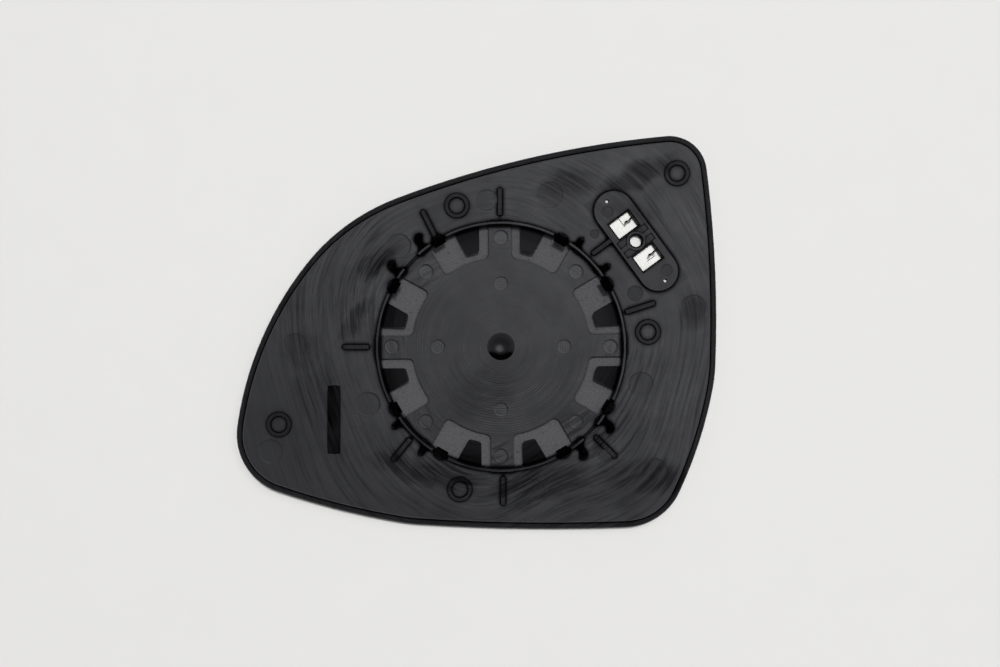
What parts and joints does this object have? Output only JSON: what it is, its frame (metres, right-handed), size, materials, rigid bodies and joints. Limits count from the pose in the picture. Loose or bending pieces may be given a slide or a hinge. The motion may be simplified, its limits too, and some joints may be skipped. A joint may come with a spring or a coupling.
{
  "type": "car door mirror glass",
  "caption": "Heated convex mirror glass in a black plastic carrier, with a clip ring of snap hooks and spring fingers, a ball socket and blade terminals on its back.",
  "frame": {"origin": "on the axis of the clip ring, on the back of the carrier plate", "axes": "+Z out of the back towards the mirror motor, +X to the tall side, +Y to the top edge"},
  "size_m": [0.1746, 0.143, 0.0129],
  "materials": {
    "black_plastic": "satin black moulding with faint wipe marks",
    "heater_film": "grey film with fine specks",
    "mirror": "clear glass, silvered back",
    "tin_plate": "bright tin plate"
  },
  "bodies": {
    "root": {"carrier_plate": "black_plastic", "heater_pad": "heater_film", "mirror_glass": "mirror", "terminal_upper": "tin_plate", "terminal_lower": "tin_plate"}
  },
  "joints": []
}
